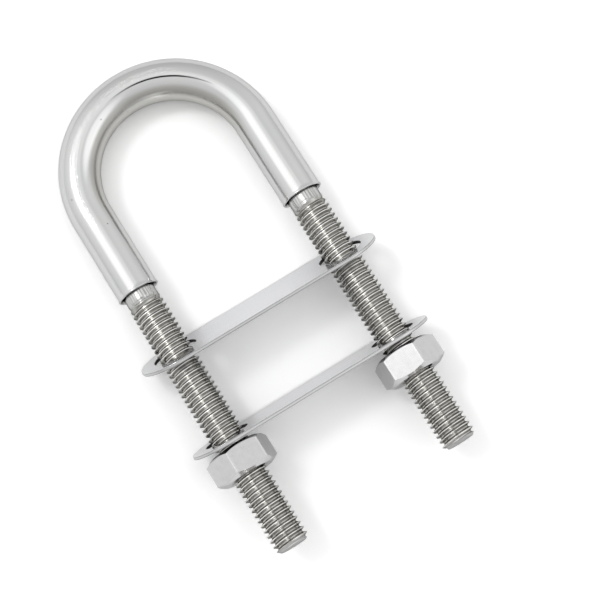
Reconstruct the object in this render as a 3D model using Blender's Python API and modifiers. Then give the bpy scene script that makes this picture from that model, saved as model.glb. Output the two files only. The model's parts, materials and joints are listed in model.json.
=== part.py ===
"""Sleeved U-bolt deck eye with two clamp plates and two hex nuts, lying on a table.

Metres, +Z up. The eye of the loop points to +Y and the threaded legs to -Y. The assembly
frame has its origin at the centre of the bend, between the legs, and is tipped a little
about X so that the loop and a plate edge both rest on the table at z = 0.
"""

import math

import bmesh
import bpy
from mathutils import Matrix, Vector

MM = 0.001

# Driving dimensions of the bent rod
ROD_DIAMETER = 7.8 * MM
LEG_SPACING = 41.5 * MM
LEG_LENGTH = 83.6 * MM
LEG_CHAMFER = 0.9 * MM

# Driving dimensions of the tube over the bend
SLEEVE_WALL = 0.5 * MM
SLEEVE_STRAIGHT = 19.75 * MM
SLEEVE_GAP = 0.3 * MM

# Driving dimensions of the two plates
PLATE_WIDTH = 16.8 * MM
PLATE_THICKNESS = 0.8 * MM
PLATE_PLAY = 0.6 * MM
PLATE_SHIFT = 0.3 * MM
DECK_PLATE_PLACE = 35.55 * MM
DECK_PLATE_TILT = math.radians(24.4)
PLATE_SPACING = 21.2 * MM
BACKING_PLATE_TILT = math.radians(15.4)

# Driving dimensions of the nuts
NUT_ACROSS_FLATS = 13.0 * MM
NUT_HEIGHT = 6.5 * MM
NUT_FACE_INSET = 0.7 * MM
NUT_BORE_GAP = 0.3 * MM
NUT_COUNTERSINK = 0.45 * MM
NUT_CHAMFER_ANGLE = math.radians(30.0)
NUT_SEAT_GAP = 0.1 * MM
RIGHT_NUT_SLACK = 0.7 * MM
LEFT_NUT_TURN = math.radians(12.2)
RIGHT_NUT_TURN = math.radians(-17.0)

# Facet counts
ROD_BEVEL = 10
SLEEVE_BEVEL = 14
BEND_STEPS = 30
ARC_STEPS = 24
HOLE_STEPS = 40
TURNED_STEPS = 50

# Sizes that follow from the driving dimensions
ROD_RADIUS = ROD_DIAMETER / 2
BEND_RADIUS = LEG_SPACING / 2
SLEEVE_RADIUS = ROD_RADIUS + SLEEVE_GAP + SLEEVE_WALL
PLATE_END_RADIUS = PLATE_WIDTH / 2
STEEPEST_TILT = max(DECK_PLATE_TILT, BACKING_PLATE_TILT)
HOLE_DIAMETER = (
    ROD_DIAMETER + 2 * PLATE_PLAY + PLATE_THICKNESS * math.sin(STEEPEST_TILT)
) / math.cos(STEEPEST_TILT)
NUT_BORE_RADIUS = ROD_RADIUS + NUT_BORE_GAP
NUT_CORNER_RADIUS = NUT_ACROSS_FLATS / 2 / math.cos(math.pi / 6)
CUT_MARGIN = 2.0 * MM

# Places of the loose pieces along the legs, in the assembly frame
DECK_PLATE_CENTRE = Vector((0, -DECK_PLATE_PLACE, PLATE_SHIFT))
BACKING_PLATE_CENTRE = Vector((0, -DECK_PLATE_PLACE - PLATE_SPACING, -PLATE_SHIFT))


def plate_back_at(height):
    """The y of the backing plate's nut side at a height above the legs' plane."""
    lean = (height - BACKING_PLATE_CENTRE.z) * math.tan(BACKING_PLATE_TILT)
    half_wall = PLATE_THICKNESS / 2 / math.cos(BACKING_PLATE_TILT)
    return BACKING_PLATE_CENTRE.y - lean - half_wall


# The plate leans over the nuts, so the top of a nut's rim meets it first
LEFT_NUT_TOP = plate_back_at(NUT_CORNER_RADIUS) - NUT_SEAT_GAP
RIGHT_NUT_TOP = LEFT_NUT_TOP - RIGHT_NUT_SLACK


def rest_slope(centre, tilt):
    """The slope of a table that touches the loop's end and this plate's lower edge."""
    across = centre.y + PLATE_END_RADIUS * math.sin(tilt) - PLATE_THICKNESS / 2 * math.cos(tilt)
    below = centre.z - PLATE_END_RADIUS * math.cos(tilt) - PLATE_THICKNESS / 2 * math.sin(tilt)
    run = BEND_RADIUS - across
    return math.atan2(-below, run) - math.asin(SLEEVE_RADIUS / math.hypot(run, below))


TABLE_SLOPE = max(
    rest_slope(DECK_PLATE_CENTRE, DECK_PLATE_TILT),
    rest_slope(BACKING_PLATE_CENTRE, BACKING_PLATE_TILT),
)


def clear_scene():
    """Remove every object and start two collections, for the parts and for the cutters."""
    for thing in list(bpy.data.objects):
        bpy.data.objects.remove(thing, do_unlink=True)
    parts = bpy.data.collections.new("sleeved_u_bolt")
    cutters = bpy.data.collections.new("cutters")
    bpy.context.scene.collection.children.link(parts)
    bpy.context.scene.collection.children.link(cutters)
    return parts, cutters


def steel(name, colour, roughness):
    """A stainless steel finish."""
    material = bpy.data.materials.new(name)
    material.use_nodes = True
    shader = material.node_tree.nodes["Principled BSDF"]
    shader.inputs["Base Color"].default_value = (*colour, 1)
    shader.inputs["Metallic"].default_value = 1.0
    shader.inputs["Roughness"].default_value = roughness
    return material


def assembly_frame(parts):
    """The empty that carries every piece, tipped so that the object lies on the table."""
    end_radius = ROD_RADIUS - LEG_CHAMFER
    loop_end = BEND_RADIUS * math.cos(TABLE_SLOPE) + SLEEVE_RADIUS
    leg_end = -LEG_LENGTH * math.cos(TABLE_SLOPE) - end_radius * math.sin(TABLE_SLOPE)
    frame = bpy.data.objects.new("assembly_frame", None)
    frame.rotation_euler = (-TABLE_SLOPE, 0, 0)
    frame.location = (0, -(loop_end + leg_end) / 2, SLEEVE_RADIUS + BEND_RADIUS * math.sin(TABLE_SLOPE))
    parts.objects.link(frame)
    return frame


def bend_path(leg_points):
    """Points down the right leg in reverse, round the bend and down the left leg, with radii."""
    points = [(BEND_RADIUS, -reach, radius) for reach, radius in leg_points]
    for step in range(BEND_STEPS + 1):
        turn = math.pi * step / BEND_STEPS
        points.append((BEND_RADIUS * math.cos(turn), BEND_RADIUS * math.sin(turn), 1.0))
    points += [(-BEND_RADIUS, -reach, radius) for reach, radius in reversed(leg_points)]
    return points


def tube_curve(name, path, radius, bevel, caps):
    """A round bar or an open tube along a path, as a bevelled curve."""
    curve = bpy.data.curves.new(name, "CURVE")
    curve.dimensions = "3D"
    curve.bevel_depth = radius
    curve.bevel_resolution = bevel
    curve.use_fill_caps = caps
    spline = curve.splines.new("POLY")
    spline.points.add(len(path) - 1)
    for point, (x, y, share) in zip(spline.points, path):
        point.co = (x, y, 0, 1)
        point.radius = share
    return bpy.data.objects.new(name, curve)


def place(piece, parts, frame, material):
    """Put a finished piece in the parts collection, on the assembly frame."""
    parts.objects.link(piece)
    piece.parent = frame
    piece.data.materials.append(material)
    return piece


def threaded_rod(parts, frame):
    """The bent rod, with a chamfer at the tip of each leg."""
    tip = (ROD_RADIUS - LEG_CHAMFER) / ROD_RADIUS
    legs = [(LEG_LENGTH, tip), (LEG_LENGTH - LEG_CHAMFER, 1.0)]
    rod = tube_curve("threaded_rod", bend_path(legs), ROD_RADIUS, ROD_BEVEL, caps=True)
    return place(rod, parts, frame, steel("rolled_thread_steel", (0.52, 0.51, 0.49), 0.28))


def loop_sleeve(parts, frame):
    """The polished tube over the bend, open at both ends and a running gap off the rod."""
    path = bend_path([(SLEEVE_STRAIGHT, 1.0)])
    sleeve = tube_curve("loop_sleeve", path, SLEEVE_RADIUS, SLEEVE_BEVEL, caps=False)
    wall = sleeve.modifiers.new("wall", "SOLIDIFY")
    wall.thickness = SLEEVE_WALL
    wall.offset = -1.0
    wall.use_even_offset = True
    return place(sleeve, parts, frame, steel("polished_tube_steel", (0.66, 0.66, 0.66), 0.1))


def add_outline(curve, points):
    """One closed outline of a flat shape."""
    spline = curve.splines.new("POLY")
    spline.points.add(len(points) - 1)
    spline.use_cyclic_u = True
    for point, (x, y) in zip(spline.points, points):
        point.co = (x, y, 0, 1)


def arc(centre_x, radius, start, sweep, steps):
    """Points on an arc about a leg's axis."""
    turns = [start + sweep * step / steps for step in range(steps)]
    return [(centre_x + radius * math.cos(turn), radius * math.sin(turn)) for turn in turns]


def clamp_plate(name, parts, frame, centre, tilt, material):
    """A flat plate with round ends about its two leg holes, leaning on the legs."""
    curve = bpy.data.curves.new(name, "CURVE")
    curve.dimensions = "2D"
    curve.fill_mode = "BOTH"
    curve.extrude = PLATE_THICKNESS / 2
    half = math.pi / 2
    outline = arc(BEND_RADIUS, PLATE_END_RADIUS, -half, math.pi, ARC_STEPS)
    outline.append((BEND_RADIUS, PLATE_END_RADIUS))
    outline += arc(-BEND_RADIUS, PLATE_END_RADIUS, half, math.pi, ARC_STEPS)
    outline.append((-BEND_RADIUS, -PLATE_END_RADIUS))
    add_outline(curve, outline)
    for side in (-1, 1):
        add_outline(curve, arc(side * BEND_RADIUS, HOLE_DIAMETER / 2, 0, 2 * math.pi, HOLE_STEPS))
    plate = bpy.data.objects.new(name, curve)
    plate.location = centre
    plate.rotation_euler = (math.pi / 2 + tilt, 0, 0)
    return place(plate, parts, frame, material)


def turned(name, profile, cutters, frame):
    """A cutter turned about Z from a profile that runs down its outer side."""
    mesh = bpy.data.meshes.new(name)
    edges = [(i, i + 1) for i in range(len(profile) - 1)]
    mesh.from_pydata([(radius, 0, height) for radius, height in profile], edges, [])
    tool = bpy.data.objects.new(name, mesh)
    screw = tool.modifiers.new("turn", "SCREW")
    screw.steps = TURNED_STEPS
    screw.render_steps = TURNED_STEPS
    screw.use_merge_vertices = True
    screw.merge_threshold = 0.00001
    tool.hide_render = True
    tool.display_type = "WIRE"
    tool.parent = frame
    cutters.objects.link(tool)
    return tool


def chamfer_profile():
    """Half the section of the double cone that takes off a nut's corners."""
    half = NUT_HEIGHT / 2
    face = NUT_ACROSS_FLATS / 2 - NUT_FACE_INSET
    wide = NUT_CORNER_RADIUS + CUT_MARGIN
    drop = (wide - face) * math.tan(NUT_CHAMFER_ANGLE)
    upper = [(0, half), (face, half), (wide, half - drop)]
    return upper + [(radius, -height) for radius, height in reversed(upper)]


def bore_profile():
    """Half the section of a nut's bore, flared at both mouths."""
    mouth = NUT_BORE_RADIUS + NUT_COUNTERSINK + CUT_MARGIN
    top = NUT_HEIGHT / 2 + CUT_MARGIN
    neck = NUT_HEIGHT / 2 - NUT_COUNTERSINK
    upper = [(0, top), (mouth, top), (NUT_BORE_RADIUS, neck)]
    return upper + [(radius, -height) for radius, height in reversed(upper)]


def hex_nut(name, parts, cutters, frame, side, top, turn, material):
    """A hex nut on one leg, its top face towards the loop, with a corner turned up from level."""
    mesh = bpy.data.meshes.new(name)
    prism = bmesh.new()
    bmesh.ops.create_cone(
        prism,
        cap_ends=True,
        segments=6,
        radius1=NUT_CORNER_RADIUS,
        radius2=NUT_CORNER_RADIUS,
        depth=NUT_HEIGHT,
        matrix=Matrix.Rotation(math.pi / 6, 4, "Z"),
    )
    prism.to_mesh(mesh)
    prism.free()
    nut = bpy.data.objects.new(name, mesh)
    cone = turned(name + "_chamfers", chamfer_profile(), cutters, frame)
    bore = turned(name + "_bore", bore_profile(), cutters, frame)
    for thing in (nut, cone, bore):
        thing.rotation_mode = "ZYX"
        thing.rotation_euler = (-math.pi / 2, 0, turn)
        thing.location = (side * BEND_RADIUS, top - NUT_HEIGHT / 2, 0)
    for tool, operation in ((cone, "INTERSECT"), (bore, "DIFFERENCE")):
        cut = nut.modifiers.new(tool.name, "BOOLEAN")
        cut.operation = operation
        cut.object = tool
    return place(nut, parts, frame, material)


def main():
    parts, cutters = clear_scene()
    frame = assembly_frame(parts)
    threaded_rod(parts, frame)
    loop_sleeve(parts, frame)
    plate_steel = steel("stamped_plate_steel", (0.62, 0.62, 0.64), 0.22)
    clamp_plate("deck_plate", parts, frame, DECK_PLATE_CENTRE, DECK_PLATE_TILT, plate_steel)
    clamp_plate("backing_plate", parts, frame, BACKING_PLATE_CENTRE, BACKING_PLATE_TILT, plate_steel)
    nut_steel = steel("nut_steel", (0.6, 0.59, 0.58), 0.18)
    hex_nut("nut_left", parts, cutters, frame, -1, LEFT_NUT_TOP, LEFT_NUT_TURN, nut_steel)
    hex_nut("nut_right", parts, cutters, frame, 1, RIGHT_NUT_TOP, RIGHT_NUT_TURN, nut_steel)


main()
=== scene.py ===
# %% [markdown]
# # A sleeved U-bolt deck eye
#
# A deck eye is a loop of steel that is bolted through a boat's deck or hull, for a shackle or a rope. This
# one is a threaded rod bent into a U, with a polished tube over the bend. Two thin plates and two nuts sit
# loose on its legs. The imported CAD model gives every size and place. This lesson models each piece again
# with the detail that a close look shows, such as real helical threads, and gives it the finish of the
# steel that it is made of.

import json
import math

import bpy
from mathutils import Matrix, Vector


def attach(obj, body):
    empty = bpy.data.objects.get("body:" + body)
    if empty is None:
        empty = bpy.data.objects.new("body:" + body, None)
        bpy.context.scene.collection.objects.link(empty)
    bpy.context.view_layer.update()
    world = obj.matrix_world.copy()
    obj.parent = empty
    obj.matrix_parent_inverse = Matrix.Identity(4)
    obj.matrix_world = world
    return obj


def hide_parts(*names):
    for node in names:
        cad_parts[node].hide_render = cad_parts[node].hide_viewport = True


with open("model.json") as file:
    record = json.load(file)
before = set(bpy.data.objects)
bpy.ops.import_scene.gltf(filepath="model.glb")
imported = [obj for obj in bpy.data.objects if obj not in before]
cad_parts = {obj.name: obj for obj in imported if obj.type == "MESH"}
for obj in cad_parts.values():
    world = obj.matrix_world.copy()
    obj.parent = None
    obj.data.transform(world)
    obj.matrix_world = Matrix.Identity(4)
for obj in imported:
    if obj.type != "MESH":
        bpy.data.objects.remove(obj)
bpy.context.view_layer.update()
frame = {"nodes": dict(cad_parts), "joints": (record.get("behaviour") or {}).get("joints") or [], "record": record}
nodes = frame["nodes"]
joints = {joint["name"]: joint for joint in frame["joints"]}
mounts = {mount["name"]: mount for mount in frame["record"]["mounts"]}
MM = 0.001

# %% [markdown]
# ## A bench to work on
#
# The object lies on the table a little tipped, because the loop rests on its tube and the legs are held up
# by the plates. Modelling on a slope is awkward, so every piece is made on a level bench: X runs across the
# legs, Y along them towards the loop, and Z up. The bend's centre is the bench's origin. One matrix, worked
# out from the joints' axis and from the reach of the CAD nodes, then lays each finished piece down in its
# real place.

# %% The bench and the sizes read from the frame
ACROSS = Vector((1, 0, 0))
ALONG = Vector(joints["deck_plate_slide"]["axis"]).normalized()
UPWARD = ACROSS.cross(ALONG)


def reach(node, direction):
    """The lowest and highest reach of a CAD node along a direction."""
    found = [vertex.co.dot(direction) for vertex in nodes[node].data.vertices]
    return min(found), max(found)


BEND_RADIUS = joints["nut_right_spin"]["pos_m"][0]
sleeve_low, sleeve_high = reach("loop_sleeve", UPWARD)
sleeve_end, sleeve_top = reach("loop_sleeve", ALONG)
rod_low, rod_high = reach("threaded_rod", UPWARD)
SLEEVE_RADIUS = (sleeve_high - sleeve_low) / 2
CREST_RADIUS = (rod_high - rod_low) / 2
bend_place = sleeve_top - BEND_RADIUS - SLEEVE_RADIUS
SLEEVE_STRAIGHT = bend_place - sleeve_end
LEG_LENGTH = bend_place - reach("threaded_rod", ALONG)[0]
BENCH = Matrix((ACROSS, ALONG, UPWARD)).transposed().to_4x4()
BENCH.translation = ALONG * bend_place + UPWARD * (sleeve_low + sleeve_high) / 2
measured = {"leg spacing": 2 * BEND_RADIUS, "leg length": LEG_LENGTH, "tube": 2 * SLEEVE_RADIUS}
for name, size in measured.items():
    print(f"{name}: {size / MM:.2f} mm")

# %% [markdown]
# ## Hand tools
#
# Working by hand in Blender goes select, open, change, apply. These few helpers do the same, always letting
# go of everything first, so that a step never touches a piece that was left selected. One more keeps a note
# on every point of a piece: where it lay when the piece was made, in millimetres. Drawing lines, grain and
# turning marks follow the way a piece was made, so its finish reads that note and stays with the piece
# wherever it is laid.

# %% Helpers for working by hand
def deselect():
    """Leave edit mode and let go of everything."""
    if bpy.context.object and bpy.context.object.mode != "OBJECT":
        bpy.ops.object.mode_set(mode="OBJECT")
    bpy.ops.object.select_all(action="DESELECT")


def take(piece):
    """Select one piece alone and make it active."""
    deselect()
    piece.select_set(True)
    bpy.context.view_layer.objects.active = piece
    return piece


def edit(piece, mode="VERT"):
    """Open a piece in edit mode with nothing selected."""
    take(piece)
    bpy.ops.object.mode_set(mode="EDIT")
    bpy.ops.mesh.select_mode(type=mode)
    bpy.ops.mesh.select_all(action="DESELECT")


def select(piece, kind, wanted):
    """In edit mode, select only the vertices, edges or faces that a test picks."""
    bpy.ops.mesh.select_all(action="DESELECT")
    bpy.ops.object.mode_set(mode="OBJECT")
    for part in getattr(piece.data, kind):
        part.select = wanted(part)
    bpy.ops.object.mode_set(mode="EDIT")


def ends(piece, line):
    """The places of an edge's two ends."""
    return [piece.data.vertices[index].co for index in line.vertices]


def apply(piece, kind, **settings):
    """Add a modifier with its settings and apply it."""
    take(piece)
    modifier = piece.modifiers.new(kind.lower(), kind)
    for setting, value in settings.items():
        setattr(modifier, setting, value)
    bpy.ops.object.modifier_apply(modifier=modifier.name)
    return piece


def cut(piece, tool, operation):
    """Combine a piece with a tool by a Boolean, and throw the tool away."""
    apply(piece, "BOOLEAN", operation=operation, object=tool, solver="EXACT")
    bpy.data.objects.remove(tool, do_unlink=True)
    return piece


def smooth(piece, angle):
    """Shade a piece smooth up to an angle, with large flat faces kept flat."""
    take(piece)
    bpy.ops.object.shade_smooth_by_angle(angle=math.radians(angle))
    apply(piece, "WEIGHTED_NORMAL", keep_sharp=True)


def settle(piece):
    """Apply a piece's place and turn to its mesh."""
    take(piece)
    bpy.ops.object.transform_apply(location=True, rotation=True, scale=True)
    return piece


def remember(piece, place_of):
    """Note on each point where it lay as the piece was made, in millimetres."""
    note = piece.data.attributes.new("made_at", "FLOAT_VECTOR", "POINT")
    for point, vertex in zip(note.data, piece.data.vertices):
        point.vector = place_of(vertex.co) / MM


def lay_down(piece):
    """Move a finished piece from the bench to its place on the table."""
    settle(piece)
    piece.matrix_world = BENCH
    settle(piece)
    print(piece.name, "has", len(piece.data.polygons), "faces")
    return piece


# %% [markdown]
# ## Turned shapes
#
# A lathe makes most of the shapes here: a profile goes round an axis, and with a rise for every turn it
# makes a thread. A single point is extruded from place to place to draw the profile, and the Screw modifier
# turns it about Z. Neighbouring turns of a thread share an edge, so the doubled points are merged
# afterwards.

# %% Draw a profile and turn it
MERGE = 0.001 * MM


def profile_wire(name, points):
    """A wire in the XZ plane, drawn by extruding one point along a list of (radius, height)."""
    deselect()
    bpy.ops.mesh.primitive_plane_add(size=MM)
    wire = bpy.context.object
    wire.name = name
    bpy.ops.object.mode_set(mode="EDIT")
    bpy.ops.mesh.select_mode(type="VERT")
    bpy.ops.mesh.select_all(action="SELECT")
    bpy.ops.mesh.merge(type="CENTER")
    bpy.ops.transform.translate(value=(points[0][0], 0, points[0][1]))
    for before, after in zip(points, points[1:]):
        step = (after[0] - before[0], 0, after[1] - before[1])
        bpy.ops.mesh.extrude_region_move(TRANSFORM_OT_translate={"value": step})
    bpy.ops.object.mode_set(mode="OBJECT")
    return wire


def turn(wire, steps, rise=0.0, turns=1):
    """Turn a profile about Z, rising a little each turn for a thread."""
    apply(
        wire,
        "SCREW",
        steps=steps,
        render_steps=steps,
        screw_offset=rise,
        iterations=turns,
        use_smooth_shade=False,
    )
    edit(wire)
    bpy.ops.mesh.select_all(action="SELECT")
    bpy.ops.mesh.remove_doubles(threshold=MERGE)
    bpy.ops.mesh.normals_make_consistent(inside=False)
    bpy.ops.object.mode_set(mode="OBJECT")
    return wire


# %% [markdown]
# ## The thread
#
# The legs have a rolled M8 coarse thread: 60 degree flanks, a pitch of 1.25 mm, a narrow flat on each crest
# and a rounded root. Rolling squeezes steel out of a plain bar of about the pitch diameter, so the crests
# stand prouder than the bar and the roots lie deeper. A texture could only hint at that. Here the profile
# of one pitch is turned through every turn of the leg, then cut off square at both ends.

# %% One length of threaded bar, upright on Z
PITCH = 1.25 * MM
THREAD_DEPTH = 0.73 * MM
CREST_FLAT = 0.14 * MM
CREST_ROUND = 0.04 * MM
ROOT_FLAT = 0.27 * MM
ROOT_ROUND = 0.1 * MM
THREAD_STEPS = 60


def pitch_profile(crest, root, start):
    """One pitch of thread as (radius, height), from the middle of one crest up to the next."""
    rising = [
        (crest, 0),
        (crest, CREST_FLAT / 2),
        (crest - CREST_ROUND, CREST_FLAT / 2 + CREST_ROUND),
        (root + ROOT_ROUND, PITCH / 2 - ROOT_FLAT / 2 - ROOT_ROUND),
        (root, PITCH / 2 - ROOT_FLAT / 2),
    ]
    falling = [(radius, PITCH - height) for radius, height in reversed(rising)]
    return [(radius, start + height) for radius, height in rising + falling]


def square_off(bar, height, keep_above):
    """Cut a bar square at a height and close the cut."""
    edit(bar)
    bpy.ops.mesh.select_all(action="SELECT")
    bpy.ops.mesh.bisect(
        plane_co=(0, 0, height),
        plane_no=(0, 0, 1),
        use_fill=True,
        clear_inner=keep_above,
        clear_outer=not keep_above,
        threshold=MERGE,
    )
    bpy.ops.object.mode_set(mode="OBJECT")


def threaded_bar(name, crest, root, low, high, crest_place):
    """A threaded bar between two heights, with a crest at a given height on its -X side."""
    first = crest_place - PITCH / 2
    first -= math.ceil((first - low) / PITCH + 1) * PITCH
    turns = math.ceil((high - first) / PITCH + 1)
    bar = turn(profile_wire(name, pitch_profile(crest, root, first)), THREAD_STEPS, PITCH, turns)
    square_off(bar, low, keep_above=True)
    square_off(bar, high, keep_above=False)
    edit(bar)
    bpy.ops.mesh.select_all(action="SELECT")
    bpy.ops.mesh.normals_make_consistent(inside=False)
    bpy.ops.object.mode_set(mode="OBJECT")
    print(name, "has", turns, "turns")
    return bar


# %% [markdown]
# ## The rod
#
# One bar makes both legs and the bend inside the tube. Below the tube a short neck shows the plain bar,
# which is only as thick as the middle of the thread's flanks. The crests grow out of it over two turns, as
# they do where thread rolls run out. Each tip is chamfered so that a nut starts easily. The plain end of
# the left leg is extruded up to the bend, spun half way round, and bridged to the plain end of the right
# leg, so the rod is one closed mesh.

# %% Make the threaded legs
NECK_RADIUS = CREST_RADIUS - 0.3 * MM
NECK_LENGTH = 2.0 * MM
RUN_OUT = 2.2 * PITCH
TIP_CHAMFER = 0.9 * MM
TIP_ROUND = 0.12 * MM
ROOT_RADIUS = CREST_RADIUS - THREAD_DEPTH
LEFT_CREST = -23.0 * MM
RIGHT_CREST = -22.62 * MM
THREAD_TOP = -SLEEVE_STRAIGHT - NECK_LENGTH


def fade_run_out(bar):
    """Draw the thread in to the neck's radius over its last turns."""
    for vertex in bar.data.vertices:
        share = min(1.0, max(0.0, (THREAD_TOP - vertex.co.z) / RUN_OUT))
        radius = vertex.co.xy.length
        if radius > MERGE:
            wanted = NECK_RADIUS + (radius - NECK_RADIUS) * share
            vertex.co.xy *= wanted / radius


def tip_envelope():
    """A turned bar a little wider than the thread, with the chamfer of the leg's tip."""
    wide = CREST_RADIUS + MM
    tip = CREST_RADIUS - TIP_CHAMFER
    drop = wide - tip
    profile = [
        (0, MM),
        (wide, MM),
        (wide, drop - LEG_LENGTH),
        (tip + TIP_ROUND / 2, TIP_ROUND / 2 - LEG_LENGTH),
        (tip - TIP_ROUND, -LEG_LENGTH),
        (0, -LEG_LENGTH),
    ]
    return turn(profile_wire("tip_envelope", profile), THREAD_STEPS)


def threaded_leg(name, side, crest_place):
    """One threaded leg, lying on the bench along -Y."""
    leg = threaded_bar(name, CREST_RADIUS, ROOT_RADIUS, -LEG_LENGTH - PITCH, THREAD_TOP, crest_place)
    fade_run_out(leg)
    cut(leg, tip_envelope(), "INTERSECT")
    leg.rotation_euler = (-math.pi / 2, 0, 0)
    leg.location = (side * BEND_RADIUS, 0, 0)
    return settle(leg)


left_leg = threaded_leg("threaded_rod_piece", -1, LEFT_CREST)
right_leg = threaded_leg("right_leg", 1, RIGHT_CREST)

# %% Join the legs round the bend
BEND_STEPS = 48
SQUARE = 0.9
NECK_RING = 0.2 * MM
THREAD_SMOOTH = 24


def open_edges(piece):
    """The edges that have a face on one side only, as pairs of points."""
    sides = {}
    for face in piece.data.polygons:
        for key in face.edge_keys:
            sides[key] = sides.get(key, 0) + 1
    return {key for key, count in sides.items() if count == 1}


for leg in (left_leg, right_leg):
    edit(leg, "FACE")
    select(leg, "polygons", lambda face: abs(face.center.y - THREAD_TOP) < MERGE and face.normal.y > SQUARE)
    bpy.ops.mesh.delete(type="FACE")
    bpy.ops.object.mode_set(mode="OBJECT")
rim = open_edges(left_leg)
edit(left_leg, "EDGE")
select(left_leg, "edges", lambda line: line.key in rim)
bpy.ops.mesh.extrude_region_move(TRANSFORM_OT_translate={"value": (0, NECK_RING, 0)})
bpy.ops.mesh.extrude_region_move(TRANSFORM_OT_translate={"value": (0, -THREAD_TOP - NECK_RING, 0)})
bpy.ops.mesh.spin(steps=BEND_STEPS, angle=math.pi, center=(0, 0, 0), axis=(0, 0, 1))
bpy.ops.mesh.extrude_region_move(TRANSFORM_OT_translate={"value": (0, THREAD_TOP + NECK_RING, 0)})
bpy.ops.object.mode_set(mode="OBJECT")
deselect()
right_leg.select_set(True)
left_leg.select_set(True)
bpy.context.view_layer.objects.active = left_leg
bpy.ops.object.join()
rod = left_leg
rims = open_edges(rod)
edit(rod, "EDGE")
select(rod, "edges", lambda line: line.key in rims)
bpy.ops.mesh.bridge_edge_loops()
bpy.ops.mesh.select_all(action="SELECT")
bpy.ops.mesh.normals_make_consistent(inside=False)
bpy.ops.object.mode_set(mode="OBJECT")
smooth(rod, THREAD_SMOOTH)
remember(rod, lambda place: place - Vector((math.copysign(BEND_RADIUS, place.x), 0, 0)))
lay_down(rod)

# %% [markdown]
# ## The tube over the bend
#
# The tube is slid over the rod and the two are bent together, which leaves a thin dark gap at both ends and
# flares the mouths a little. A circle the size of a mouth is extruded and narrowed up the left leg, spun
# half way round the bend and drawn down the right leg the same way. Solidify gives it a wall, and the sharp
# rims are broken with a small bevel, because the tube is deburred by hand. The note on each point is its
# place in the straight tube before bending: how far out of the bend, how far along and how high.

# %% Make the tube
TUBE_WALL = 0.5 * MM
RIM_ROUND = 0.12 * MM
ROUND_STEPS = 3
SHARP = math.radians(60)
TUBE_SMOOTH = 40
TUBE_SHY = 0.01 * MM
TUBE_SIDES = 96
TUBE_BEND_STEPS = 96
MOUTH_FLARE = 0.2 * MM
MOUTH_STEPS = [(0.0, 1.0), (0.35 * MM, 0.45), (0.7 * MM, 0.1), (1.0 * MM, 0.0)]


def mouth_radius(share):
    """The tube's radius where a share of the flare is left."""
    return SLEEVE_RADIUS - TUBE_SHY + share * MOUTH_FLARE


def draw_out(side, before, after):
    """Extrude the tube's open ring from one place and radius along its leg to the next."""
    bpy.ops.mesh.extrude_region_move(TRANSFORM_OT_translate={"value": (0, after[0] - before[0], 0)})
    growth = mouth_radius(after[1]) / mouth_radius(before[1])
    bpy.ops.transform.resize(value=(growth, 1, growth), center_override=(side * BEND_RADIUS, after[0], 0))


def straightened(place):
    """Where a point of the bent tube lay in the straight tube, along Y from the start of the bend."""
    half_turn = math.pi * BEND_RADIUS
    if place.y >= 0:
        arc = math.atan2(place.y, -place.x) * BEND_RADIUS
        return Vector((place.xy.length - BEND_RADIUS, arc, place.z))
    if place.x < 0:
        return Vector((-place.x - BEND_RADIUS, place.y, place.z))
    return Vector((place.x - BEND_RADIUS, half_turn - place.y, place.z))


deselect()
bpy.ops.mesh.primitive_circle_add(
    vertices=TUBE_SIDES,
    radius=mouth_radius(1.0),
    location=(-BEND_RADIUS, -SLEEVE_STRAIGHT, 0),
    rotation=(math.pi / 2, 0, 0),
)
tube = settle(bpy.context.object)
tube.name = "loop_sleeve_piece"
rings = [(rise - SLEEVE_STRAIGHT, share) for rise, share in MOUTH_STEPS] + [(0.0, 0.0)]
edit(tube, "EDGE")
bpy.ops.mesh.select_all(action="SELECT")
for before, after in zip(rings, rings[1:]):
    draw_out(-1, before, after)
bpy.ops.mesh.spin(steps=TUBE_BEND_STEPS, angle=math.pi, center=(0, 0, 0), axis=(0, 0, 1))
rings.reverse()
for before, after in zip(rings, rings[1:]):
    draw_out(1, before, after)
bpy.ops.mesh.select_all(action="SELECT")
bpy.ops.mesh.remove_doubles(threshold=MERGE)
bpy.ops.mesh.normals_make_consistent(inside=False)
bpy.ops.object.mode_set(mode="OBJECT")
print("tube box", [round(value / MM, 2) for value in tube.dimensions])
apply(tube, "SOLIDIFY", thickness=TUBE_WALL, offset=-1.0, use_even_offset=True)
apply(tube, "BEVEL", width=RIM_ROUND, segments=ROUND_STEPS, limit_method="ANGLE", angle_limit=SHARP)
smooth(tube, TUBE_SMOOTH)
remember(tube, straightened)
lay_down(tube)

# %% [markdown]
# ## The clamp plates
#
# Two flat plates are stamped from thin sheet, with full-round ends about two loose leg holes. A cylinder as
# wide as the plate is pulled apart at its middle to make the outline, and two cylinders cut the holes. The
# press leaves a slightly rolled edge, which a fine bevel gives. Each plate's tilt and place come from its
# mount on the CAD model.

# %% Make a plate
PLATE_EDGE = 0.11 * MM
PLATE_SMOOTH = 35
OUTLINE_SIDES = 128


def plate_sizes(node, normal):
    """The thickness, width, hole radius and middle of a plate, measured on its CAD node."""
    slope = normal.cross(ACROSS)
    low, high = reach(node, normal)
    bottom, top = reach(node, slope)
    middle = slope * (bottom + top) / 2 + normal * (low + high) / 2
    hole = middle + ACROSS * BEND_RADIUS
    gaps = [(vertex.co - hole).cross(normal).length for vertex in nodes[node].data.vertices]
    return high - low, top - bottom, min(gaps), middle


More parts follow.
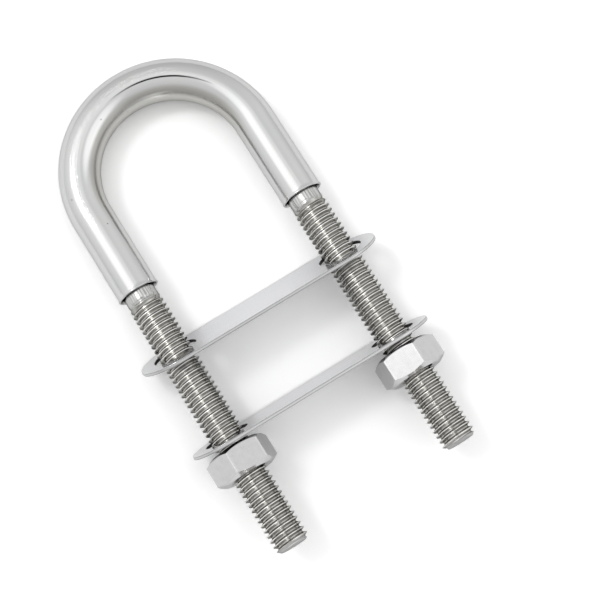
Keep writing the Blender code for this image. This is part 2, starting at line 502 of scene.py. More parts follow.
def clamp_plate(name, node, normal):
    """A stamped plate in the place of its CAD node."""
    thickness, width, hole_radius, middle = plate_sizes(node, normal)
    deselect()
    bpy.ops.mesh.primitive_cylinder_add(
        vertices=OUTLINE_SIDES,
        radius=width / 2,
        depth=thickness,
        rotation=(0, 0, math.pi / OUTLINE_SIDES),
    )
    plate = settle(bpy.context.object)
    plate.name = name
    edit(plate)
    for side in (-1, 1):
        select(plate, "vertices", lambda point: point.co.x * side > 0)
        bpy.ops.transform.translate(value=(side * BEND_RADIUS, 0, 0))
    deselect()
    for side in (-1, 1):
        bpy.ops.mesh.primitive_cylinder_add(
            vertices=OUTLINE_SIDES,
            radius=hole_radius,
            depth=3 * thickness,
            location=(side * BEND_RADIUS, 0, 0),
        )
        cut(plate, bpy.context.object, "DIFFERENCE")
    apply(plate, "BEVEL", width=PLATE_EDGE, segments=ROUND_STEPS, limit_method="ANGLE", angle_limit=SHARP)
    smooth(plate, PLATE_SMOOTH)
    remember(plate, Vector.copy)
    turned = Matrix((ACROSS, normal.cross(ACROSS), normal)).transposed().to_4x4()
    turned.translation = middle
    plate.matrix_world = turned
    settle(plate)
    print(name, "is", [round(size / MM, 2) for size in (2 * BEND_RADIUS + width, width, thickness)], "mm")
    return plate


deck_normal = -Vector(mounts["deck_plate_face"]["axis"])
backing_normal = Vector(mounts["backing_plate_face"]["axis"])
deck_plate = clamp_plate("deck_plate_piece", "deck_plate", deck_normal)
backing_plate = clamp_plate("backing_plate_piece", "backing_plate", backing_normal)

# %% [markdown]
# ## The nuts
#
# A hex nut is cold formed from bar, chamfered on both faces so that its corners can't dig in, then
# countersunk and tapped. The same steps are followed here: a six-sided cylinder, a turned double cone that
# takes the corners off, two countersinks, and a threaded bar a little larger than the leg as the tap. The
# tap is in step with the leg's thread, so the nut's thread fits in the leg's and stays in it as the nut
# turns and travels.

# %% Make a nut
NUT_CHAMFER = math.radians(30)
NUT_FACE_INSET = 0.7 * MM
NUT_EDGE = 0.13 * MM
TAP_CLEARANCE = 0.1 * MM
COUNTERSINK = 0.35 * MM
CONE_STEPS = 120


def hex_sizes(node):
    """A nut's lower and upper end along the legs and its corner radius, measured on its CAD node."""
    low, high = reach(node, ALONG)
    axis = Vector(joints[node + "_spin"]["pos_m"])
    corner = max((vertex.co - axis).cross(ALONG).length for vertex in nodes[node].data.vertices)
    return low - bend_place, high - bend_place, corner


def hex_turn(node):
    """How far a nut is turned about its leg, from its corners on the CAD node."""
    axis = Vector(joints[node + "_spin"]["pos_m"])
    arms = [vertex.co - axis for vertex in nodes[node].data.vertices]
    far = max(arms, key=lambda arm: arm.cross(ALONG).length)
    return math.atan2(-far.dot(UPWARD), far.dot(ACROSS))


def hex_nut(name, node, side, crest_place):
    """A tapped, double chamfered nut in the place of its CAD node."""
    low, high, corner = hex_sizes(node)
    flat = corner * math.cos(math.pi / 6)
    middle = (low + high) / 2
    half = (high - low) / 2
    deselect()
    bpy.ops.mesh.primitive_cylinder_add(
        vertices=6,
        radius=corner,
        depth=high - low,
        location=(0, 0, middle),
        rotation=(0, 0, hex_turn(node) - math.pi / 2),
    )
    nut = settle(bpy.context.object)
    nut.name = name
    edit(nut, "EDGE")
    select(nut, "edges", lambda line: abs(ends(nut, line)[0].z - ends(nut, line)[1].z) > half)
    bpy.ops.mesh.bevel(offset=NUT_EDGE, segments=ROUND_STEPS)
    bpy.ops.object.mode_set(mode="OBJECT")
    face = flat - NUT_FACE_INSET
    wide = corner + MM
    drop = (wide - face) * math.tan(NUT_CHAMFER)
    upper = [(0, half), (face, half), (wide, half - drop)]
    double_cone = upper + [(radius, -height) for radius, height in reversed(upper)]
    double_cone = [(radius, middle + height) for radius, height in double_cone]
    cut(nut, turn(profile_wire("double_cone", double_cone), CONE_STEPS), "INTERSECT")
    mouth = CREST_RADIUS + TAP_CLEARANCE + COUNTERSINK
    waist = ROOT_RADIUS
    depth = mouth - waist
    for way in (-1, 1):
        sink = [(0, half + MM), (mouth + MM, half + MM), (waist, half - depth), (0, half - depth)]
        if way < 0:
            sink = [(radius, -height) for radius, height in reversed(sink)]
        sink = [(radius, middle + height) for radius, height in sink]
        cut(nut, turn(profile_wire("countersink", sink), CONE_STEPS), "DIFFERENCE")
    tap = threaded_bar(
        "tap",
        CREST_RADIUS + TAP_CLEARANCE,
        ROOT_RADIUS + TAP_CLEARANCE,
        low - PITCH,
        high + PITCH,
        crest_place,
    )
    cut(nut, tap, "DIFFERENCE")
    smooth(nut, THREAD_SMOOTH)
    remember(nut, lambda place: place - Vector((0, 0, middle)))
    nut.rotation_euler = (-math.pi / 2, 0, 0)
    nut.location = (side * BEND_RADIUS, 0, 0)
    return lay_down(nut)


nut_left = hex_nut("nut_left_piece", "nut_left", -1, LEFT_CREST)
nut_right = hex_nut("nut_right_piece", "nut_right", 1, RIGHT_CREST)

# %% [markdown]
# ## What each piece rides on
#
# Each piece stands for one CAD node and moves with that node's body, so the plates and nuts travel along
# the legs and the nuts turn as they go.

# %% Ride and replace
RIDES = [
    (rod, "threaded_rod", "u_bolt", "rolled_thread_steel"),
    (tube, "loop_sleeve", "u_bolt", "polished_tube_steel"),
    (deck_plate, "deck_plate", "deck_plate", "stamped_plate_steel"),
    (backing_plate, "backing_plate", "backing_plate", "stamped_plate_steel"),
    (nut_left, "nut_left", "nut_left", "nut_steel"),
    (nut_right, "nut_right", "nut_right", "nut_steel"),
]
for piece, node, body, slot in RIDES:
    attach(piece, body)
    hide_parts(node)

# %% [markdown]
# ## Finishes
#
# Every piece is stainless steel, so what tells them apart is how each surface was made. Stainless is a
# neutral, fairly dark grey metal that looks bright because it mirrors a bright room. The colours are
# written as hex values, and one small function adds a node with its settings and inputs.

# %% Colours and nodes
def linear(code):
    """An sRGB hex colour as linear red, green and blue with full alpha."""
    parts = [int(code[place : place + 2], 16) / 255 for place in (1, 3, 5)]
    return [part / 12.92 if part <= 0.04045 else ((part + 0.055) / 1.055) ** 2.4 for part in parts] + [1.0]


def add(tree, kind, inputs=None, **settings):
    """Add a node with its settings, and give each named input a value or a link."""
    node = tree.nodes.new(kind)
    for setting, value in settings.items():
        setattr(node, setting, value)
    for socket, value in (inputs or {}).items():
        if isinstance(value, bpy.types.NodeSocket):
            tree.links.new(value, node.inputs[socket])
        else:
            node.inputs[socket].default_value = value
    return node


def steel(name):
    """A new metal: the material, its nodes, its shader and the places noted on the piece."""
    material = bpy.data.materials.new(name)
    material.use_nodes = True
    tree = material.node_tree
    shader = tree.nodes["Principled BSDF"]
    shader.inputs["Metallic"].default_value = 1.0
    shader.inputs["Specular Tint"].default_value = linear("#DADADA")
    made_at = add(tree, "ShaderNodeAttribute", attribute_name="made_at").outputs["Vector"]
    return material, tree, shader, made_at


FINISHES = {}

# %% [markdown]
# ### Polished tube
#
# The tube is drawn, polished on a belt along its length and then buffed, so it is nearly a mirror. Small
# faults keep it from looking like chrome in a computer: a slow waviness from drawing and bending, fine
# lines along the tube from the belt, and a band of shallow dents along the top of the bend, where the
# bending former held it. Inside the bend, where the wheel hardly reaches, the tube stays duller, and it is
# tinted greyer there as a painted shade for the shaded paper that it mirrors. A few tiny pits are left where
# the buff tore out a speck. Polishing lines are finer than the picture can show, so they are drawn 0.25 mm
# wide.

# %% Polished tube
POLISH_LINE = (0.25, 9.0, 0.25)
WAVE = 6.0
SCUFF = (0.22, 0.32, 0.22)
SCUFF_MIDDLE = 0.8
SCUFF_HALF_WIDTH = 1.0
SCUFF_SPAN = (-6.0, 2.0, 40.0, 48.0)
INSIDE = (-2.2, -3.1)
INSIDE_SPAN = (-8.0, 8.0, 57.0, 73.0)
PIT_SPACING = 2.2
PIT_RADIUS = 0.13
PIT_SHARE = 0.2
DENTS_FROM = (0.52, 0.62)
LINES_FROM = (0.3, 0.7)
TUBE_GLOSS = (0.045, 0.12)
INSIDE_GLOSS = 0.2
PIT_GLOSS = 0.5
WAVE_HEIGHT = 0.012 * MM
LINE_HEIGHT = 0.003 * MM
DENT_HEIGHT = 0.03 * MM

FINISHES["polished_tube_steel"], tree, shader, made_at = steel("polished_stainless_tube")
spot = add(tree, "ShaderNodeSeparateXYZ", {"Vector": made_at})
stretch = add(tree, "ShaderNodeMapping", {"Vector": made_at, "Scale": [1 / size for size in POLISH_LINE]})
lines = add(tree, "ShaderNodeTexNoise", {"Vector": stretch.outputs["Vector"], "Scale": 1.0, "Detail": 3.0})
waves = add(tree, "ShaderNodeTexNoise", {"Vector": made_at, "Scale": 1 / WAVE, "Detail": 1.0})
stretch = add(tree, "ShaderNodeMapping", {"Vector": made_at, "Scale": [1 / size for size in SCUFF]})
scuffs = add(tree, "ShaderNodeTexNoise", {"Vector": stretch.outputs["Vector"], "Scale": 1.0, "Detail": 2.0})
offset = add(tree, "ShaderNodeMath", {0: spot.outputs["X"], 1: SCUFF_MIDDLE}, operation="SUBTRACT")
offset = add(tree, "ShaderNodeMath", {0: offset.outputs["Value"]}, operation="ABSOLUTE")
band = add(
    tree,
    "ShaderNodeMapRange",
    {"Value": offset.outputs["Value"], "From Min": SCUFF_HALF_WIDTH, "From Max": SCUFF_HALF_WIDTH / 3},
    interpolation_type="SMOOTHSTEP",
).outputs["Result"]
inside = add(
    tree,
    "ShaderNodeMapRange",
    {"Value": spot.outputs["X"], "From Min": INSIDE[0], "From Max": INSIDE[1]},
    interpolation_type="SMOOTHSTEP",
).outputs["Result"]
zones = []
for zone, span in ((band, SCUFF_SPAN), (inside, INSIDE_SPAN)):
    for start, end in (span[:2], span[:1:-1]):
        reached = add(
            tree,
            "ShaderNodeMapRange",
            {"Value": spot.outputs["Y"], "From Min": start, "From Max": end},
            interpolation_type="SMOOTHSTEP",
        )
        zone = add(tree, "ShaderNodeMath", {0: zone, 1: reached.outputs["Result"]}, operation="MULTIPLY")
        zone = zone.outputs["Value"]
    zones.append(zone)
band, inside = zones
dents = add(
    tree,
    "ShaderNodeMapRange",
    {"Value": scuffs.outputs["Fac"], "From Min": DENTS_FROM[0], "From Max": DENTS_FROM[1]},
)
cells = add(tree, "ShaderNodeTexVoronoi", {"Vector": made_at, "Scale": 1 / PIT_SPACING})
chosen = add(tree, "ShaderNodeSeparateColor", {"Color": cells.outputs["Color"]})
chosen = add(tree, "ShaderNodeMath", {0: chosen.outputs["Red"], 1: PIT_SHARE}, operation="LESS_THAN")
near = add(
    tree, "ShaderNodeMath", {0: cells.outputs["Distance"], 1: PIT_RADIUS / PIT_SPACING}, operation="LESS_THAN"
)
pits = add(
    tree, "ShaderNodeMath", {0: chosen.outputs["Value"], 1: near.outputs["Value"]}, operation="MULTIPLY"
).outputs["Value"]
# The inside mask tints the bend's inner side greyer: a painted shade for the shaded paper it mirrors.
tint = linear("#D4D3D2")
for share, code in ((waves.outputs["Fac"], "#CFD0D1"), (inside, "#C0BFBB"), (pits, "#5A5957")):
    tint = add(
        tree, "ShaderNodeMix", {"Factor": share, "A": tint, "B": linear(code)}, data_type="RGBA"
    ).outputs["Result"]
gloss = add(
    tree,
    "ShaderNodeMapRange",
    {
        "Value": lines.outputs["Fac"],
        "From Min": LINES_FROM[0],
        "From Max": LINES_FROM[1],
        "To Min": TUBE_GLOSS[0],
        "To Max": TUBE_GLOSS[1],
    },
).outputs["Result"]
for share, rough in ((inside, INSIDE_GLOSS), (pits, PIT_GLOSS)):
    gloss = add(
        tree, "ShaderNodeMix", {"Factor": share, "A": gloss, "B": rough}, data_type="FLOAT"
    ).outputs["Result"]
relief = add(tree, "ShaderNodeBump", {"Height": waves.outputs["Fac"], "Distance": WAVE_HEIGHT})
relief = add(
    tree,
    "ShaderNodeBump",
    {"Height": lines.outputs["Fac"], "Distance": LINE_HEIGHT, "Normal": relief.outputs["Normal"]},
)
relief = add(
    tree,
    "ShaderNodeBump",
    {
        "Strength": band,
        "Height": dents.outputs["Result"],
        "Distance": DENT_HEIGHT,
        "Normal": relief.outputs["Normal"],
    },
)
tree.links.new(tint, shader.inputs["Base Color"])
tree.links.new(gloss, shader.inputs["Roughness"])
tree.links.new(relief.outputs["Normal"], shader.inputs["Normal"])
print("polished tube:", len(tree.nodes), "nodes")

# %% [markdown]
# ### Rolled thread
#
# Thread rolls press the thread into the bar and leave it smooth, so its flanks mirror each other and each
# turn shows more than one line. The finish follows the distance from the leg's axis: bright on the crest,
# which the rolls burnish and which carries a painted highlight for the light that rounded crests catch,
# and greyer on the flanks and in the root. A darker tint at a slant is a painted shade that keeps the
# sides of the legs dark. Fine lines run round the leg the way the rolls slid, and a speckle breaks them up.
# The plain neck keeps the lines along the bar from drawing, the bar inside the tube is painted near black
# as a painted shade for the gap under the tube's mouth, and the sawn tip is rough and grey.

# %% Rolled thread
ROLL_LINE = (2.5, 0.2, 2.5)
DRAWN_LINE = (0.18, 6.0, 0.18)
SPECKLE = 0.26
WEAR = 0.18
SLID_FROM = (0.5, 0.62)
DRAWN_FROM = (0.45, 0.65)
THREAD_GLOSS = (0.2, 0.24)
SAWN_GLOSS = 0.5
ROLL_HEIGHT = 0.003 * MM
SPECKLE_HEIGHT = 0.006 * MM
SAWN_HEIGHT = 0.05 * MM
# Where each plain zone starts and is fully reached along the leg, and its tint
PLAIN_ZONES = {
    "tip": (TIP_CHAMFER - LEG_LENGTH, TIP_CHAMFER / 2 - LEG_LENGTH, "#C9C9C8"),
    "neck": (THREAD_TOP - RUN_OUT / 2, THREAD_TOP, "#D3D3D2"),
    # The bar inside the tube is painted near black: a painted shade for the gap under the tube's mouth.
    "inside": (-SLEEVE_STRAIGHT - NECK_RING, -SLEEVE_STRAIGHT, "#0C0C0C"),
}

FINISHES["rolled_thread_steel"], tree, shader, made_at = steel("rolled_stainless_thread")
# The darker tint at a slant is a painted shade that keeps the sides of the legs dark.
shader.inputs["Specular Tint"].default_value = linear("#868684")
spot = add(tree, "ShaderNodeSeparateXYZ", {"Vector": made_at})
section = add(tree, "ShaderNodeCombineXYZ", {"X": spot.outputs["X"], "Z": spot.outputs["Z"]})
radius = add(tree, "ShaderNodeVectorMath", {0: section.outputs["Vector"]}, operation="LENGTH")
stretch = add(tree, "ShaderNodeMapping", {"Vector": made_at, "Scale": [1 / size for size in ROLL_LINE]})
lines = add(tree, "ShaderNodeTexNoise", {"Vector": stretch.outputs["Vector"], "Scale": 1.0, "Detail": 3.0})
speckle = add(tree, "ShaderNodeTexNoise", {"Vector": made_at, "Scale": 1 / SPECKLE, "Detail": 2.0})
height = add(
    tree,
    "ShaderNodeMapRange",
    {"Value": radius.outputs["Value"], "From Min": ROOT_RADIUS / MM, "From Max": CREST_RADIUS / MM},
)
wear_and_crest_sheen = add(tree, "ShaderNodeMath", {0: speckle.outputs["Fac"], 1: 0.5}, operation="SUBTRACT")
wear_and_crest_sheen = add(
    tree,
    "ShaderNodeMath",
    {0: wear_and_crest_sheen.outputs["Value"], 1: WEAR, 2: height.outputs["Result"]},
    operation="MULTIPLY_ADD",
)
# The bright crest colour is partly burnish and partly a painted highlight for light the rounded crests catch.
shades = add(tree, "ShaderNodeValToRGB", {"Fac": wear_and_crest_sheen.outputs["Value"]})
ramp = shades.color_ramp.elements
ramp[0].position = 0.0
ramp[0].color = linear("#BCBBB8")
ramp[1].position = 0.95
ramp[1].color = linear("#F4F3F1")
for place, code in ((0.14, "#B9B8B4"), (0.86, "#B3B2AE")):
    ramp.new(place).color = linear(code)
slid = add(
    tree,
    "ShaderNodeMapRange",
    {"Value": lines.outputs["Fac"], "From Min": SLID_FROM[0], "From Max": SLID_FROM[1]},
)
tint = add(
    tree,
    "ShaderNodeMix",
    {"Factor": slid.outputs["Result"], "A": shades.outputs["Color"], "B": linear("#DDDCDA")},
    data_type="RGBA",
    blend_type="MULTIPLY",
).outputs["Result"]
reached = {}
for zone, (start, end, code) in PLAIN_ZONES.items():
    reached[zone] = add(
        tree,
        "ShaderNodeMapRange",
        {"Value": spot.outputs["Y"], "From Min": start / MM, "From Max": end / MM},
    ).outputs["Result"]
    tint = add(
        tree, "ShaderNodeMix", {"Factor": reached[zone], "A": tint, "B": linear(code)}, data_type="RGBA"
    ).outputs["Result"]
stretch = add(tree, "ShaderNodeMapping", {"Vector": made_at, "Scale": [1 / size for size in DRAWN_LINE]})
drawn = add(tree, "ShaderNodeTexNoise", {"Vector": stretch.outputs["Vector"], "Scale": 1.0, "Detail": 3.0})
drawn = add(
    tree,
    "ShaderNodeMapRange",
    {"Value": drawn.outputs["Fac"], "From Min": DRAWN_FROM[0], "From Max": DRAWN_FROM[1]},
)
drawn = add(tree, "ShaderNodeMath", {0: drawn.outputs["Result"], 1: reached["neck"]}, operation="MULTIPLY")
tint = add(
    tree,
    "ShaderNodeMix",
    {"Factor": drawn.outputs["Value"], "A": tint, "B": linear("#D0D0CE")},
    data_type="RGBA",
    blend_type="MULTIPLY",
).outputs["Result"]
gloss = add(
    tree,
    "ShaderNodeMapRange",
    {"Value": wear_and_crest_sheen.outputs["Value"], "To Min": THREAD_GLOSS[0], "To Max": THREAD_GLOSS[1]},
)
gloss = add(
    tree,
    "ShaderNodeMix",
    {"Factor": reached["tip"], "A": gloss.outputs["Result"], "B": SAWN_GLOSS},
    data_type="FLOAT",
)
relief = add(tree, "ShaderNodeBump", {"Height": lines.outputs["Fac"], "Distance": ROLL_HEIGHT})
relief = add(
    tree,
    "ShaderNodeBump",
    {"Height": speckle.outputs["Fac"], "Distance": SPECKLE_HEIGHT, "Normal": relief.outputs["Normal"]},
)
relief = add(
    tree,
    "ShaderNodeBump",
    {
        "Strength": reached["tip"],
        "Height": speckle.outputs["Fac"],
        "Distance": SAWN_HEIGHT,
        "Normal": relief.outputs["Normal"],
    },
)
tree.links.new(tint, shader.inputs["Base Color"])
tree.links.new(gloss.outputs["Result"], shader.inputs["Roughness"])
tree.links.new(relief.outputs["Normal"], shader.inputs["Normal"])
print("rolled thread:", len(tree.nodes), "nodes")

# %% [markdown]
# ### Stamped sheet
#
# The plates are blanked from bright rolled sheet. The mill's rolls leave a fine grain along the sheet,
# handling adds a few hairline scratches, and the press shears the edges, which come out rougher than the
# faces. Both shoulders of an edge are painted as a darker line, a painted shade, and the walls of the holes
# are painted darker still, a painted shade for the gap around the legs. The grain is drawn 0.14 mm wide
# so that it shows.

# %% Stamped sheet
SHEET_GRAIN = (12.0, 0.14, 0.5)
SCRATCH = (5.0, 0.3, 1.0)
SHEAR_LINE = (0.2, 0.2, 2.0)
SHEARED_BELOW = 0.33
BURNISHED_BELOW = 0.2
HOLE_SHADE_WITHIN = 5.25
SCRATCH_TURN = 0.3
SCRATCH_FROM = (0.64, 0.7)
SHEET_GLOSS = (0.1, 0.22)
EDGE_GLOSS = 0.42
GRAIN_HEIGHT = 0.003 * MM
SHEAR_HEIGHT = 0.02 * MM

FINISHES["stamped_plate_steel"], tree, shader, made_at = steel("stamped_stainless_sheet")
shader.inputs["Specular Tint"].default_value = linear("#F4F4F4")
spot = add(tree, "ShaderNodeSeparateXYZ", {"Vector": made_at})
stretch = add(tree, "ShaderNodeMapping", {"Vector": made_at, "Scale": [1 / size for size in SHEET_GRAIN]})
grain = add(tree, "ShaderNodeTexNoise", {"Vector": stretch.outputs["Vector"], "Scale": 1.0, "Detail": 3.0})
stretch = add(
    tree,
    "ShaderNodeMapping",
    {"Vector": made_at, "Rotation": (0, 0, SCRATCH_TURN), "Scale": [1 / size for size in SCRATCH]},
)
scratches = add(
    tree, "ShaderNodeTexNoise", {"Vector": stretch.outputs["Vector"], "Scale": 1.0, "Detail": 4.0}
)
scratches = add(
    tree,
    "ShaderNodeMapRange",
    {"Value": scratches.outputs["Fac"], "From Min": SCRATCH_FROM[0], "From Max": SCRATCH_FROM[1]},
)
stretch = add(tree, "ShaderNodeMapping", {"Vector": made_at, "Scale": [1 / size for size in SHEAR_LINE]})
shear = add(tree, "ShaderNodeTexNoise", {"Vector": stretch.outputs["Vector"], "Scale": 1.0, "Detail": 2.0})
depth = add(tree, "ShaderNodeMath", {0: spot.outputs["Z"]}, operation="ABSOLUTE")
wall = add(
    tree, "ShaderNodeMath", {0: depth.outputs["Value"], 1: SHEARED_BELOW}, operation="LESS_THAN"
).outputs["Value"]
side = add(tree, "ShaderNodeMath", {0: spot.outputs["X"]}, operation="ABSOLUTE")
side = add(tree, "ShaderNodeMath", {0: side.outputs["Value"], 1: BEND_RADIUS / MM}, operation="SUBTRACT")
side = add(tree, "ShaderNodeCombineXYZ", {"X": side.outputs["Value"], "Y": spot.outputs["Y"]})
side = add(tree, "ShaderNodeVectorMath", {0: side.outputs["Vector"]}, operation="LENGTH")
# The hole walls are painted dark: a painted shade for the gap between each leg and its hole.
hole = add(
    tree, "ShaderNodeMath", {0: side.outputs["Value"], 1: HOLE_SHADE_WITHIN}, operation="LESS_THAN"
).outputs["Value"]
face = add(
    tree,
    "ShaderNodeMix",
    {"Factor": grain.outputs["Fac"], "A": linear("#D7D8DA"), "B": linear("#EAEAEC")},
    data_type="RGBA",
)
face = add(
    tree,
    "ShaderNodeMix",
    {"Factor": scratches.outputs["Result"], "A": face.outputs["Result"], "B": linear("#F0F0F1")},
    data_type="RGBA",
)
torn_edge_and_shade = add(
    tree,
    "ShaderNodeMix",
    {"Factor": shear.outputs["Fac"], "A": linear("#BDBDBD"), "B": linear("#E0E0E0")},
    data_type="RGBA",
)
# Both shoulders of each edge are painted darker: a painted shade along the edge.
shoulder_shade = add(
    tree, "ShaderNodeMath", {0: depth.outputs["Value"], 1: BURNISHED_BELOW}, operation="GREATER_THAN"
)
torn_edge_and_shade = torn_edge_and_shade.outputs["Result"]
for share, code in ((shoulder_shade.outputs["Value"], "#9C9C9C"), (hole, "#3B3A39")):
    torn_edge_and_shade = add(
        tree, "ShaderNodeMix", {"Factor": share, "A": torn_edge_and_shade, "B": linear(code)}, data_type="RGBA"
    ).outputs["Result"]
tint = add(
    tree, "ShaderNodeMix", {"Factor": wall, "A": face.outputs["Result"], "B": torn_edge_and_shade}, data_type="RGBA"
)
gloss = add(
    tree,
    "ShaderNodeMapRange",
    {"Value": grain.outputs["Fac"], "To Min": SHEET_GLOSS[0], "To Max": SHEET_GLOSS[1]},
)
gloss = add(
    tree, "ShaderNodeMix", {"Factor": wall, "A": gloss.outputs["Result"], "B": EDGE_GLOSS}, data_type="FLOAT"
)
relief = add(tree, "ShaderNodeBump", {"Height": grain.outputs["Fac"], "Distance": GRAIN_HEIGHT})
relief = add(
    tree,
    "ShaderNodeBump",
    {
        "Strength": wall,
        "Height": shear.outputs["Fac"],
        "Distance": SHEAR_HEIGHT,
        "Normal": relief.outputs["Normal"],
    },
)
tree.links.new(tint.outputs["Result"], shader.inputs["Base Color"])
tree.links.new(gloss.outputs["Result"], shader.inputs["Roughness"])
tree.links.new(relief.outputs["Normal"], shader.inputs["Normal"])
print("stamped sheet:", len(tree.nodes), "nodes")

# %% [markdown]
# ### Cold formed nut
#
# A nut's flats are pressed in a die and come out bright, with faint lines along the nut's axis. Its
# chamfers and end faces are turned, which leaves fine rings. The corners are tinted a little brighter,
# partly worn in the tumbling barrel and partly a painted highlight along the edges. The tapped bore is
# tinted dark, and the seat is painted dark as a painted shade, which makes the gap under the plate read as
# a black line.

# %% Cold formed nut
DIE_LINE = (0.35, 0.35, 5.0)
TURNED_RING = 0.18
BLOTCH = 1.4
BORE_MARGIN = 0.02 * MM
BORE_BELOW = (CREST_RADIUS + TAP_CLEARANCE + BORE_MARGIN) / MM
TURNED_FROM = (2.2, 2.9)
WEAR_AND_SHEEN_FROM = (7.2, 7.45)
SEAT_SHADE_FROM = (2.6, 3.1)
NUT_GLOSS = (0.1, 0.2)
BORE_GLOSS = 0.5
BLOTCH_HEIGHT = 0.006 * MM
MARK_HEIGHT = 0.002 * MM

FINISHES["nut_steel"], tree, shader, made_at = steel("cold_formed_stainless_nut")
spot = add(tree, "ShaderNodeSeparateXYZ", {"Vector": made_at})
section = add(tree, "ShaderNodeCombineXYZ", {"X": spot.outputs["X"], "Y": spot.outputs["Y"]})
radius = add(tree, "ShaderNodeVectorMath", {0: section.outputs["Vector"]}, operation="LENGTH")
radius = radius.outputs["Value"]
stretch = add(tree, "ShaderNodeMapping", {"Vector": made_at, "Scale": [1 / size for size in DIE_LINE]})
lines = add(tree, "ShaderNodeTexNoise", {"Vector": stretch.outputs["Vector"], "Scale": 1.0, "Detail": 2.0})
blotches = add(tree, "ShaderNodeTexNoise", {"Vector": made_at, "Scale": 1 / BLOTCH, "Detail": 2.0})
rings = add(
    tree, "ShaderNodeTexNoise", {"W": radius, "Scale": 1 / TURNED_RING, "Detail": 2.0}, noise_dimensions="1D"
)
end = add(tree, "ShaderNodeMath", {0: spot.outputs["Z"]}, operation="ABSOLUTE")
turned = add(
    tree,
    "ShaderNodeMapRange",
    {"Value": end.outputs["Value"], "From Min": TURNED_FROM[0], "From Max": TURNED_FROM[1]},
)
marks = add(
    tree,
    "ShaderNodeMix",
    {"Factor": turned.outputs["Result"], "A": lines.outputs["Fac"], "B": rings.outputs["Fac"]},
    data_type="FLOAT",
)
bore = add(tree, "ShaderNodeMath", {0: radius, 1: BORE_BELOW}, operation="LESS_THAN").outputs["Value"]
# The corners are tinted brighter: partly wear, partly a painted highlight along the edges.
wear_and_sheen = add(
    tree,
    "ShaderNodeMapRange",
    {"Value": radius, "From Min": WEAR_AND_SHEEN_FROM[0], "From Max": WEAR_AND_SHEEN_FROM[1]},
    interpolation_type="SMOOTHSTEP",
).outputs["Result"]
# The seat is painted dark: a painted shade under the plate.
seat_shade = add(
    tree,
    "ShaderNodeMapRange",
    {"Value": spot.outputs["Z"], "From Min": SEAT_SHADE_FROM[0], "From Max": SEAT_SHADE_FROM[1]},
).outputs["Result"]
tint = linear("#CAC9C9")
shades = [(blotches.outputs["Fac"], "#D8D7D8"), (wear_and_sheen, "#DAD9D9"), (seat_shade, "#2A2A2A"), (bore, "#2E2D2C")]
for share, code in shades:
    tint = add(
        tree, "ShaderNodeMix", {"Factor": share, "A": tint, "B": linear(code)}, data_type="RGBA"
    ).outputs["Result"]
gloss = add(
    tree,
    "ShaderNodeMapRange",
    {"Value": marks.outputs["Result"], "To Min": NUT_GLOSS[0], "To Max": NUT_GLOSS[1]},
)
gloss = add(
    tree, "ShaderNodeMix", {"Factor": bore, "A": gloss.outputs["Result"], "B": BORE_GLOSS}, data_type="FLOAT"
)
relief = add(tree, "ShaderNodeBump", {"Height": blotches.outputs["Fac"], "Distance": BLOTCH_HEIGHT})
relief = add(
    tree,
    "ShaderNodeBump",
    {"Height": marks.outputs["Result"], "Distance": MARK_HEIGHT, "Normal": relief.outputs["Normal"]},
)
tree.links.new(tint, shader.inputs["Base Color"])
tree.links.new(gloss.outputs["Result"], shader.inputs["Roughness"])
tree.links.new(relief.outputs["Normal"], shader.inputs["Normal"])
print("cold formed nut:", len(tree.nodes), "nodes")

# %% Put each finish on its pieces
for piece, node, body, slot in RIDES:
    piece.data.materials.clear()
    piece.data.materials.append(FINISHES[slot])
    print(piece.name, "is", FINISHES[slot].name)

# %% [markdown]
# ## The table
#
# The object lies on white paper. The paper is a little brighter to the camera and in the metal's mirror
# than to the light that bounces around, so that it reads as white and still keeps the soft shadows. It has
# a faint fibre.

# %% Table
FLOOR_SIZE = 4.0
FLOOR_DROP = 0.02 * MM
PAPER_PLAIN = 0.86
PAPER_MIRRORED = 1.0
PAPER_SEEN = 1.17
PAPER_GLOSS = 0.25
FIBRE = 0.4 * MM
FIBRE_HEIGHT = 0.004 * MM

deselect()
bpy.ops.mesh.primitive_plane_add(size=FLOOR_SIZE, location=(0, 0, -FLOOR_DROP))
floor = bpy.context.object
floor.name = "table"
paper = bpy.data.materials.new("white_paper")
paper.use_nodes = True
tree = paper.node_tree
shader = tree.nodes["Principled BSDF"]
rays = add(tree, "ShaderNodeLightPath")
mirrored = add(
    tree,
    "ShaderNodeMath",
    {0: rays.outputs["Is Glossy Ray"], 1: rays.outputs["Is Transmission Ray"]},
    operation="MAXIMUM",
)
white = add(
    tree,
    "ShaderNodeMapRange",
    {"Value": mirrored.outputs["Value"], "To Min": PAPER_PLAIN, "To Max": PAPER_MIRRORED},
)
white = add(
    tree,
    "ShaderNodeMix",
    {"Factor": rays.outputs["Is Camera Ray"], "A": white.outputs["Result"], "B": PAPER_SEEN},
    data_type="FLOAT",
)
place = add(tree, "ShaderNodeTexCoord").outputs["Object"]
fibre = add(tree, "ShaderNodeTexNoise", {"Vector": place, "Scale": 1 / FIBRE, "Detail": 2.0})
relief = add(tree, "ShaderNodeBump", {"Height": fibre.outputs["Fac"], "Distance": FIBRE_HEIGHT})
tree.links.new(white.outputs["Result"], shader.inputs["Base Color"])
tree.links.new(relief.outputs["Normal"], shader.inputs["Normal"])
shader.inputs["Roughness"].default_value = PAPER_GLOSS
floor.data.materials.append(paper)
print("table:", floor.name)

# %% [markdown]
# ## The light
#
# Polished metal shows its surroundings, so the light is a tent: pale all round, brighter overhead and
# towards the loop, with a few soft patches. The key is a small strong patch at the upper left, which throws
# the soft shadows and the white lines along the tube. Wider, weaker patches give it a halo, brighten the
# tent's walls and fill from the right. Patches with a level below zero take light away: the side of the
# tent that is open, and the dark camera overhead, which is longer than it is wide and draws the black line
# on the bend.

# %% Light
TENT_LEVEL = 0.54
TENT_SLOPE = (0.0, 0.135, 0.4)
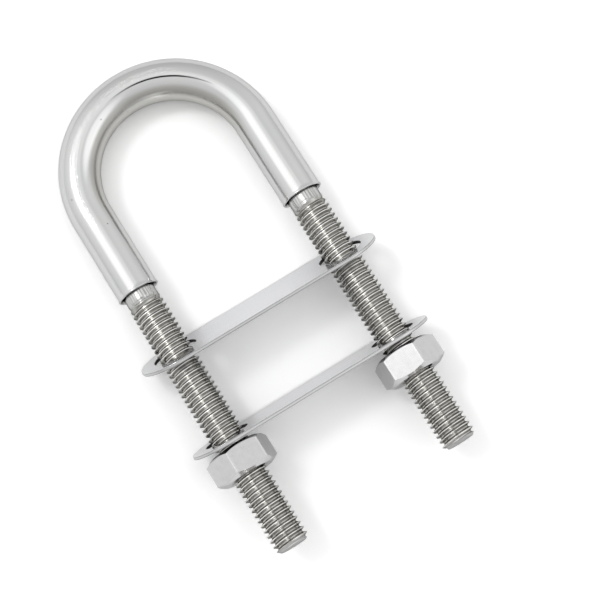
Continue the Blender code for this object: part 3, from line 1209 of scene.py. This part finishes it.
# Degrees round from +X towards +Y, degrees down from overhead, inner and outer radius in degrees, and level
PATCHES = {
    "key": (128, 33, 2.5, 8.5, 12.5),
    "key halo": (130, 33, 8, 26, 0.55),
    "left wall": (142, 74, 10, 50, 0.24),
    "fill": (-28, 37, 6, 28, 0.55),
    "right wall": (5, 72, 10, 50, 0.15),
    "front wall": (-46, 66, 10, 34, 0.22),
    "overhead": (72, 15, 4, 16, 0.15),
    "open side": (60, 55, 5, 36, -0.1),
    "camera": (100, 5, 2, 6, -0.95),
    "camera grip": (127, 8.3, 2, 6, -0.8),
    "camera strap": (44, 4.6, 2, 6, -0.8),
}

world = bpy.data.worlds.new("light_tent")
bpy.context.scene.world = world
world.use_nodes = True
tree = world.node_tree
sky = tree.nodes["Background"]
sky.inputs["Color"].default_value = linear("#FFFFFF")
way = add(tree, "ShaderNodeTexCoord").outputs["Generated"]
slope = add(tree, "ShaderNodeVectorMath", {0: way, 1: TENT_SLOPE}, operation="DOT_PRODUCT")
level = add(tree, "ShaderNodeMath", {0: slope.outputs["Value"], 1: TENT_LEVEL}, operation="ADD")
for azimuth, tilt, inner, outer, strength in PATCHES.values():
    turned, leaned = math.radians(azimuth), math.radians(tilt)
    middle = (math.cos(turned) * math.sin(leaned), math.sin(turned) * math.sin(leaned), math.cos(leaned))
    toward = add(tree, "ShaderNodeVectorMath", {0: way, 1: middle}, operation="DOT_PRODUCT")
    limits = {"From Min": math.cos(math.radians(outer)), "From Max": math.cos(math.radians(inner))}
    patch = add(
        tree,
        "ShaderNodeMapRange",
        {"Value": toward.outputs["Value"], "To Max": strength, **limits},
        interpolation_type="SMOOTHSTEP",
    )
    sums = {0: level.outputs["Value"], 1: patch.outputs["Result"]}
    level = add(tree, "ShaderNodeMath", sums, operation="ADD")
level = add(tree, "ShaderNodeMath", {0: level.outputs["Value"], 1: 0.0}, operation="MAXIMUM")
tree.links.new(level.outputs["Value"], sky.inputs["Strength"])
print("light tent with", len(PATCHES), "patches")

# %% [markdown]
# ## The camera
#
# The camera stands over the legs and looks a little towards the loop, with a long lens. Its place is
# written in the bench's frame, so it keeps its view of the legs however the object is tipped.

# %% Camera
EYE = Vector((-33.2, -107.96, 363.01)) * MM
VIEW = Vector((0.110635, 0.18507, -0.976478))
TOP = Vector((0.514289, 0.830076, 0.215592))
FOCAL_PIXELS = 1724.56
IMAGE_PIXELS = 598
SENSOR = 36.0

lens = bpy.data.cameras.new("camera")
lens.sensor_width = SENSOR
lens.lens = SENSOR * FOCAL_PIXELS / IMAGE_PIXELS
lens.clip_start = MM
camera = bpy.data.objects.new("camera", lens)
bpy.context.scene.collection.objects.link(camera)
view = VIEW.normalized()
top = (TOP - view * TOP.dot(view)).normalized()
side = view.cross(top)
pose = Matrix((side, top, -view)).transposed().to_4x4()
pose.translation = EYE
camera.matrix_world = BENCH @ pose
bpy.context.scene.camera = camera
bpy.context.scene.view_settings.view_transform = "Standard"
print("lens of", round(lens.lens, 1), "mm")
